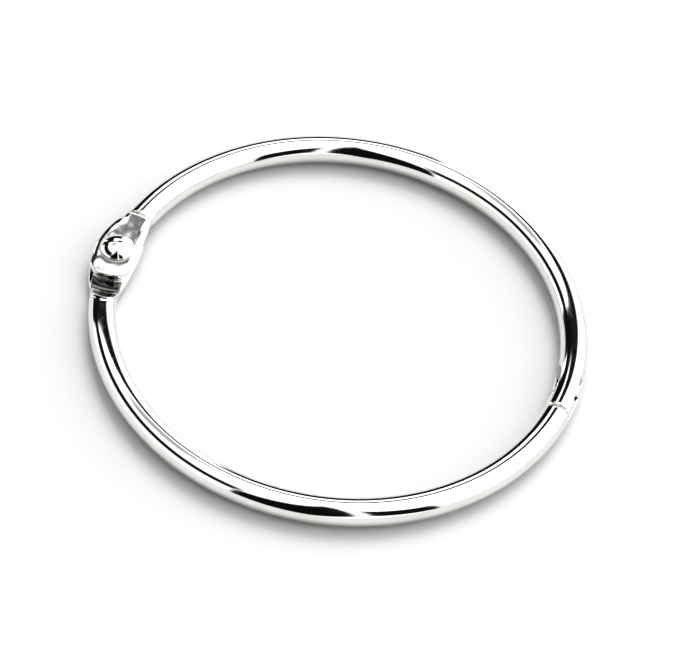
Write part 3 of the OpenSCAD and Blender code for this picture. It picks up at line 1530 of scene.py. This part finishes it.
@dataclass(frozen=True)
class DarkCard:
    """A dark patch of the tent. Azimuths run from -Y towards +X, and all angles are in degrees."""

    azimuth: float
    half_width: float
    low: float
    high: float
    fade: float = 3.0
    lean: float = 0.0
    tilt: float = 0.0
    density: float = 1.0

    def darkness(self, way: Outlook) -> Signal:
        """Share of the light that the card takes away from a direction.

        Args:
            way: The direction.

        Returns:
            0 off the card and its density on it. Its sides lean and its lower and upper edges tilt.
        """
        middle = (self.low + self.high) / 2
        past = way.past((way.elevation - middle) * self.lean + self.azimuth)
        level = way.elevation - past.least(self.half_width).most(-self.half_width) * self.tilt
        soft = self.fade / 2
        across = 1.0 - abs(past).step(self.half_width - soft, self.half_width + soft)
        above = level.step(self.low - soft, self.low + soft)
        below = 1.0 - level.step(self.high - soft, self.high + soft)
        return across * above * below * self.density


@dataclass(frozen=True)
class DarkArch:
    """A dark gap of even width around a round-topped light panel behind the ring."""

    azimuth: float
    radius: float
    half_width: float
    arc_azimuth: float
    arc_half_width: float
    low: float = 17.0
    fade: float = 2.0
    end_fade: float = 8.0
    low_fade: float = 2.0

    def darkness(self, way: Outlook) -> Signal:
        """Share of the light that the gap takes away from a direction.

        Args:
            way: The direction.

        Returns:
            1 in the gap and 0 off it.
        """
        angle = math.radians(self.azimuth)
        toward = way.x * math.sin(angle) - way.y * math.cos(angle)
        from_middle = toward.math("ARCCOSINE") * math.degrees(1)
        soft = self.fade / 2
        gap = abs(from_middle - self.radius)
        across = 1.0 - gap.step(self.half_width - soft, self.half_width + soft)
        end, fade = self.arc_half_width, self.end_fade
        along = 1.0 - abs(way.past(self.arc_azimuth)).step(end - fade, end + fade)
        return across * along * way.elevation.step(self.low - self.low_fade, self.low + self.low_fade)


# Dark things round the ring: in front, at the right and the left, then round and over a panel behind.
CARDS = (
    DarkCard(3.5, 24, -8, 62, tilt=1.0),
    DarkCard(47, 13, 8, 48, fade=4, tilt=-0.8),
    DarkCard(86, 27, 0, 14, fade=4, density=0.45),
    DarkCard(-68, 47, 24, 46, fade=5, tilt=0.13),
    DarkArch(-159, 48.5, 4.5, -152, 42),
    DarkArch(-158, 46, 6, -130, 14, fade=3),
    DarkArch(-159, 49.5, 7.5, 179, 12, low=10, fade=3),
    DarkCard(-130, 26, 57, 70, fade=5, density=0.75),
    DarkCard(-153, 24, 0, 28),
    DarkCard(-144, 8, 8, 39, lean=0.34),
    DarkCard(-115, 9, 2, 36),
    DarkCard(-128, 9, 18, 41),
)


@dataclass(frozen=True)
class Studio:
    """A pale floor under a bright tent, a soft light behind the ring, and the camera.

    The lens and the sensor's width are in millimetres, and angles are in degrees.
    """

    floor_radius: float = 3.0
    floor_segments: int = 96
    floor_gap: float = 2.0 * UM
    floor_colour: Colour = (0.51, 0.51, 0.51, 1.0)
    floor_roughness: float = 0.9
    floor_specular: float = 0.1
    tent_front: Colour = (1.4, 1.4, 1.4, 1.0)
    tent_behind: Colour = (2.8, 2.8, 2.8, 1.0)
    card_colour: Colour = (0.004, 0.004, 0.004, 1.0)
    behind: float = 148.0
    behind_fade: Span = (-0.7, 0.9)
    key_azimuth: float = 178.0
    key_elevation: float = 55.0
    key_strength: float = 2.4
    key_width: float = 35.0
    camera_azimuth: float = 10.6
    camera_elevation: float = 49.3
    camera_roll: float = 8.86
    camera_distance: float = 0.387
    lens: float = 180.0
    sensor_width: float = 36.0
    clip: Span = (0.01, 20.0)
    cards: tuple[Union[DarkCard, DarkArch], ...] = CARDS
    aim: tuple[float, float, float] = (0.0, 0.0, 0.0)

    def floor(self, height: float) -> bpy.types.Object:
        """Lays the floor just under the ring.

        Args:
            height: Z of the ring's lowest point.

        Returns:
            The floor.
        """
        bm = bmesh.new()
        bmesh.ops.create_circle(bm, cap_ends=True, segments=self.floor_segments, radius=self.floor_radius)
        bmesh.ops.translate(bm, verts=bm.verts[:], vec=(0, 0, height - self.floor_gap))
        piece = finished_piece("floor", bm)
        material = bpy.data.materials.new("pale_card")
        material.use_nodes = True
        shader = material.node_tree.nodes["Principled BSDF"]
        shader.inputs["Base Color"].default_value = self.floor_colour
        shader.inputs["Roughness"].default_value = self.floor_roughness
        shader.inputs["Specular IOR Level"].default_value = self.floor_specular
        piece.data.materials.append(material)
        return piece

    def sky(self) -> None:
        """Draws the tent, brightest behind the ring, with dark cards that the camera doesn't see."""
        world = bpy.data.worlds.new("tent")
        world.use_nodes = True
        world.node_tree.nodes.clear()
        graph = Graph(world.node_tree)
        x, y, z = graph.axes(graph.node("ShaderNodeTexCoord", {}, {}, "Generated"))
        azimuth = x.math("ARCTAN2", y * -1.0) * math.degrees(1)
        way = Outlook(x, y, z, azimuth, z.math("ARCSINE") * math.degrees(1))
        dark = z * 0.0
        for card in self.cards:
            dark = dark.most(card.darkness(way))
        seen = graph.node("ShaderNodeLightPath", {}, {}, "Is Camera Ray")
        angle = math.radians(self.behind)
        toward = x * math.sin(angle) - y * math.cos(angle)
        bright = graph.blend(toward.step(*self.behind_fade), self.tent_front, self.tent_behind)
        colour = graph.blend(dark * (1.0 - seen), bright, self.card_colour)
        shade = graph.node("ShaderNodeBackground", {}, {"Color": colour, "Strength": 1.0})
        graph.finish("ShaderNodeOutputWorld", shade)
        bpy.context.scene.world = world

    def way(self, azimuth: float, elevation: float) -> Vector:
        """Unit vector towards an azimuth and an elevation, both in degrees."""
        level = math.cos(math.radians(elevation))
        across, away = math.sin(math.radians(azimuth)), -math.cos(math.radians(azimuth))
        return Vector((across * level, away * level, math.sin(math.radians(elevation))))

    def key_light(self) -> bpy.types.Object:
        """Hangs a wide soft light behind the ring, which lights the floor and isn't mirrored.

        Returns:
            The light.
        """
        data = bpy.data.lights.new("key", "SUN")
        data.energy = self.key_strength
        data.angle = math.radians(self.key_width)
        light = bpy.data.objects.new("key", data)
        way = self.way(self.key_azimuth, self.key_elevation)
        light.rotation_euler = way.to_track_quat("Z", "Y").to_euler()
        light.visible_glossy = False
        bpy.context.scene.collection.objects.link(light)
        return light

    def camera(self) -> bpy.types.Object:
        """Places the camera and makes it the scene's own.

        Returns:
            The camera.
        """
        way = self.way(self.camera_azimuth, self.camera_elevation)
        data = bpy.data.cameras.new("camera")
        data.lens = self.lens
        data.sensor_width = self.sensor_width
        data.clip_start, data.clip_end = self.clip
        camera = bpy.data.objects.new("camera", data)
        camera.location = Vector(self.aim) + way * self.camera_distance
        roll = Quaternion((0.0, 0.0, 1.0), math.radians(self.camera_roll))
        camera.rotation_euler = (way.to_track_quat("Z", "Y") @ roll).to_euler()
        bpy.context.scene.collection.objects.link(camera)
        bpy.context.scene.camera = camera
        return camera

    def build(self, lowest: float) -> None:
        """Sets up the whole studio.

        Args:
            lowest: Z of the ring's lowest point.
        """
        self.floor(lowest)
        self.sky()
        self.key_light()
        self.camera()
        bpy.context.scene.view_settings.view_transform = "Standard"


def main() -> None:
    """Builds and dresses the ring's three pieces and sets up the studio."""
    logging.basicConfig(level=logging.INFO, format="%(name)s: %(message)s")
    wire = Wire()
    snap, hinge = SnapPlan(wire), HingeDie(wire)
    parts = (
        SocketHalf(wire=wire, snap=snap, hinge=hinge),
        TongueHalf(wire=wire, snap=snap, hinge=hinge),
        HingeRivet(),
    )
    for part in parts:
        piece = part.build()
        part.dress(piece)
        LOG.info("%s: %d faces, stands for %s", piece.name, len(piece.data.polygons), part.role.node)
    Studio().build(CAD_BOX[0][2])


if __name__ == "__main__":
    main()
